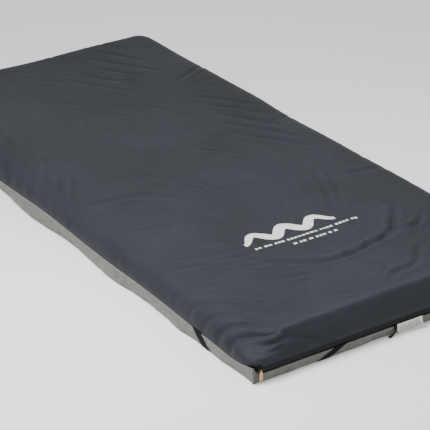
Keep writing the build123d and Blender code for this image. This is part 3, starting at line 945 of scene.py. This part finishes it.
def make_straps():
    """Each elastic strap: a run under the corner and a leg up the wall at each end."""
    t = np.linspace(0, 1, 24)[:, None]
    for corner in ("foot_left", "foot_right", "head_left", "head_right"):
        end = -1 if corner.startswith("foot") else 1
        side = -1 if corner.endswith("left") else 1
        body = f"strap_{corner}"
        foot_end = np.array([side * (HALF_X - STRAP_REACH), end * (HALF_Y + STRAP_PROUD), STRAP_PROUD])
        foot_side = np.array([side * (HALF_X + STRAP_PROUD), end * (HALF_Y - STRAP_REACH), STRAP_PROUD])
        # the run's ends are cut along the walls that it turns up beside
        cut_end, cut_side = np.array([LEG_SPAN, 0, 0]), np.array([0, side * end * LEG_SPAN, 0])
        run = strip(
            f"strap_run_{corner}_woven", foot_end + (foot_side - foot_end) * t,
            cut_end + (cut_side - cut_end) * t, ELASTIC,
        )
        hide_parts(f"strap_run_{corner}")
        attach(run, body)
        end_top = (side * END_LEG_X, end * (HALF_Y + LEG_PROUD), WALL_TOP + 0.003)
        side_top = (side * (HALF_X + LEG_PROUD), end * SIDE_LEG_Y, SEAM_Z if side < 0 else WALL_TOP + 0.003)
        for where, foot, top, half, out in (
            ("end", foot_end, end_top, (LEG_SPAN, 0, 0), (0, end, 0)),
            ("side", foot_side, side_top, (0, LEG_SPAN, 0), (side, 0, 0)),
        ):
            slack = np.sin(np.pi * t)
            route = foot + (np.array(top) - foot) * t + np.array(out) * 0.0016 * slack
            across = np.array(half) * (1 - 0.10 * slack)
            leg = strip(f"strap_leg_{where}_{corner}_woven", route, across, ELASTIC)
            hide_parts(f"strap_leg_{where}_{corner}")
            apply_modifiers(leg)
            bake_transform(leg)


# ---- label and webbing tab
def make_label():
    """A satin label that hangs from the seam and kicks out along the floor, a little curled."""
    centre = (LABEL_LOW.x + LABEL_HIGH.x) / 2
    half = (LABEL_HIGH.x - LABEL_LOW.x) / 2
    columns, rows, dash_rows = 40, 26, 1.5
    u, v = np.meshgrid(np.linspace(-1, 1, columns), np.linspace(0, 1, rows), indexing="ij")
    fall = LABEL_HIGH.z - 0.0012
    kick = 0.012 + 0.006 * u
    out = (np.clip(v - 0.55, 0, 1) / 0.45) ** 1.7 * kick
    out += 0.0009 * np.sin(np.pi * v) + 0.0006 * np.sin(5 * u + 2) * v
    x = centre + half * u + 0.002 * v
    y = -HALF_Y - 0.0010 - out
    z = LABEL_HIGH.z - fall * np.sin(np.clip(v * 1.06, 0, 1) * math.pi / 2) ** 1.15
    z += 0.0008 * np.sin(3.2 * u) * v**3 + 0.0004
    verts = np.stack([x.ravel(), y.ravel(), z.ravel()], 1)
    label = piece("care_label_ribbon", verts, grid_faces(*u.shape), LABEL, "label")
    modifier(label, "SOLIDIFY", thickness=0.0005, offset=0.0)
    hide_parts("care_label")

    # short dashes in rows, where the wash instructions are
    random = np.random.default_rng(5)
    surface = verts.reshape(*u.shape, 3)
    dashes, faces = [], []
    for row in (0.20, 0.32, 0.44, 0.56, 0.68):
        place = 3.0
        while place < columns - 6:
            long = random.uniform(0.8, 2.6)
            if place + long > columns - 4:
                break
            j = row * (rows - 1)
            ends = (place, j), (place + long, j), (place + long, j + dash_rows), (place, j + dash_rows)
            for column, line in ends:
                i0, j0 = int(column), int(line)
                f, g = column - i0, line - j0
                low = surface[i0, j0] * (1 - f) + surface[i0 + 1, j0] * f
                high = surface[i0, j0 + 1] * (1 - f) + surface[i0 + 1, j0 + 1] * f
                dashes.append(low * (1 - g) + high * g + np.array([0, -0.0004, 0.0001]))
            faces.append(range(len(dashes) - 4, len(dashes)))
            place += long + random.uniform(0.6, 1.2)
    dash = piece("care_label_print", dashes, faces, LABEL_INK, "label", flat=True)
    modifier(dash, "SOLIDIFY", thickness=0.0001, offset=0.0)


def make_webbing_tab():
    """A short black tape that hangs beside the label and curls away to the left."""
    route = spline(
        [
            (TAB_HIGH.x - 0.006, -HALF_Y - 0.0012, TAB_HIGH.z),
            (TAB_HIGH.x - 0.004, -HALF_Y - 0.0035, 0.015),
            (TAB_HIGH.x - 0.009, -HALF_Y - 0.0065, 0.007),
            (TAB_HIGH.x - 0.020, -HALF_Y - 0.0080, 0.0022),
            (TAB_HIGH.x - 0.029, -HALF_Y - 0.0085, 0.0016),
        ],
        26,
    )
    turn = np.linspace(0.25, 1.25, len(route))[:, None]
    across = 0.0048 * np.hstack([np.cos(turn), np.sin(turn), 0 * turn])
    tab = strip("webbing_tab_curled", route, across, WEBBING, thickness=0.0012, columns=5)
    points, _ = read(tab.data)
    points[:, 1] = np.minimum(points[:, 1], -HALF_Y - 0.0009)
    write(tab.data, points)
    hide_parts("webbing_tab")
    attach(tab, "base")


# ---- the printed mark
MARK_X = -0.020
MARK_Y = -0.505


def make_mark(cover):
    """A plain three-humped wave and two rows of dashes, printed on the cover near its foot."""
    graph = bpy.context.evaluated_depsgraph_get()
    tree = BVHTree.FromObject(cover, graph)

    def on_cover(points):
        out = []
        for x, y in points:
            hit = tree.ray_cast(Vector((x, y, 0.3)), Vector((0, 0, -1)))[0]
            out.append((x, y, hit.z + 0.0002))
        return np.array(out)

    def stroke(route, half):
        """A band of the given half width along a route, laid on the cover."""
        ahead = np.gradient(route, axis=0)
        side = np.stack([-ahead[:, 1], ahead[:, 0]], 1) / np.linalg.norm(ahead, axis=1)[:, None]
        rows = [on_cover(route + k * half[:, None] * side) for k in np.linspace(-1, 1, 9)]
        return np.vstack(rows), grid_faces(9, len(route))[:, ::-1]

    t = np.linspace(0, 1, 150)
    wave = np.stack([MARK_X - 0.140 + 0.280 * t, MARK_Y - 0.020 * np.cos(6 * np.pi * t)], 1)
    verts, faces = stroke(wave, 0.0155 * np.sin(np.pi * np.clip(t, 0.03, 0.97)) ** 0.35)
    mark = piece("mark_wave", verts, faces, INK, "cover")
    modifier(mark, "SOLIDIFY", thickness=0.0003, offset=0.0)

    random = np.random.default_rng(8)
    verts, faces, total = [], [], 0
    for y, low, high in ((MARK_Y - 0.052, -0.150, 0.170), (MARK_Y - 0.080, -0.052, 0.082)):
        x = low
        while x < high:
            long = random.uniform(0.006, 0.012)
            route = np.stack([np.linspace(x, x + long, 4), np.full(4, y)], 1)
            v, f = stroke(route, np.full(4, 0.0042))
            verts.append(v)
            faces.append(f + total)
            total += len(v)
            x += long + random.choice([0.0030, 0.0030, 0.0090])
    lines = piece("mark_lines", np.vstack(verts), np.vstack(faces), INK, "cover")
    modifier(lines, "SOLIDIFY", thickness=0.0003, offset=0.0)


# ---- foam and gel
SQUEEZE = {"left": 0.036, "other": 0.022}  # how far the stretched cover pulls the upper edge down
SQUEEZE_REACH = 0.042  # and how far in that is felt
SQUEEZE_FLOOR = 0.030  # below this height the foam keeps its shape
LEFT_BAND = 0.09  # the strip that is squeezed as the left side
CORE_RADIUS = 0.085  # plan radius of the core's corners
EDGE_REACH = 0.014  # width and drop of the rounded upper edge
EDGE_DROP = 0.011
CORNER_PULL = 2.4  # the foam keeps below the cover where its corner is pulled in
BLADDER_RADIUS = 0.025
SAG = 0.0085  # how far the whole core settles under the cover


def squeezed(points, top):
    """Foam pulled down along its outer edge by the stretched cover."""
    core_x, core_y = CORE_HIGH.x, CORE_HIGH.y
    rounded_plan(points, core_x, core_y, CORE_RADIUS)
    x, y, z = points.T
    edge = np.minimum(core_x - np.abs(x), core_y - np.abs(y))
    p, q = np.abs(x) - core_x + CORE_RADIUS, np.abs(y) - core_y + CORE_RADIUS
    edge = np.where((p > 0) & (q > 0), CORE_RADIUS - np.hypot(p, q), edge)
    depth = np.where(x < -core_x + LEFT_BAND, SQUEEZE["left"], SQUEEZE["other"])
    drop = depth * np.clip(1 - edge / SQUEEZE_REACH, 0, 1) ** 2
    soft = np.clip(1 - edge / EDGE_REACH, 0, 1)
    drop += EDGE_DROP * (1 - np.sqrt(1 - soft**2))
    share = np.clip((z - SQUEEZE_FLOOR) / (top - SQUEEZE_FLOOR), 0, 1)
    points[:, 2] -= (drop + SAG) * share + CORNER_PULL * corner_dip(x, y, z)
    return points


def make_foam():
    steps = {"foam_slab": 0.011}
    steps |= {f"foam_rail_{side}": 0.006 for side in ("left", "right", "foot", "head")}
    steps |= {f"foam_divider_{number}": 0.005 for number in (1, 2, 3)}
    for node, step in steps.items():
        material, slot = (FOAM_BASE, "foam_base") if node == "foam_slab" else (FOAM_TOP, "foam_top")
        low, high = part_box(node)
        points, faces = block(low, high, step)
        squeezed(points, CORE_HIGH.z)
        obj = piece(f"{node}_cut", points, faces, material, "base")
        modifier(obj, "BEVEL", width=0.0012, segments=2, limit_method="ANGLE", angle_limit=1.0)
        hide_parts(node)


def pillow(name, low, high, welt, crown, material):
    """A shallow bladder: crowned above and below a thin edge, with soft ripples."""
    centre, half = (low + high) / 2, (high - low) / 2
    points, faces = block(low, high, 0.006)
    local = points - np.array(centre)
    rounded_plan(local, half.x, half.y, BLADDER_RADIUS)
    points = local + np.array(centre)
    edge = np.minimum(half.x - np.abs(local[:, 0]), half.y - np.abs(local[:, 1]))
    full = np.clip((edge - welt) / crown, 0, 1) ** 0.5
    ripple = 1 - 0.06 * (1 + noise(points[:, 0] * 22, points[:, 1] * 22, 41)) * full
    flat = (points[:, 2] - centre.z) * (0.10 + 0.90 * full * ripple)
    points[:, 2] = centre.z - half.z * 0.25 + np.where(flat > 0, flat * 1.25, flat * 0.75)
    obj = piece(name, points, faces, material, "base")
    return obj


def make_gel():
    for number in range(1, 5):
        low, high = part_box(f"gel_film_{number}")
        high.z -= SAG
        film = pillow(f"gel_film_{number}_welded", low, high, 0.006, 0.030, FILM)
        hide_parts(f"gel_film_{number}")
        margin = Vector((0.008, 0.008, 0.0010))
        body = pillow(f"gel_fill_{number}_body", low + margin, high - margin, 0.0, 0.030, GEL)
        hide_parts(f"gel_fill_{number}")


# ---- build
studio()
floor()
make_foam()
make_gel()
make_base_cover()
cover = make_top_cover()
make_mark(cover)
for moving in [cover, *make_zip()]:
    apply_modifiers(moving)
    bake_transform(moving)
make_straps()
make_label()
make_webbing_tab()

METAL_NODES = {
    "zipper_slider": BLACK_METAL,
    "zipper_stops_lower": BLACK_METAL,
    "zipper_stops_upper": BLACK_METAL,
    "pull_ring": BRASS,
    "pull_tab": BRASS,
}
for node, material in METAL_NODES.items():
    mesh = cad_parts[node].data
    mesh.materials.clear()
    mesh.materials.append(material)
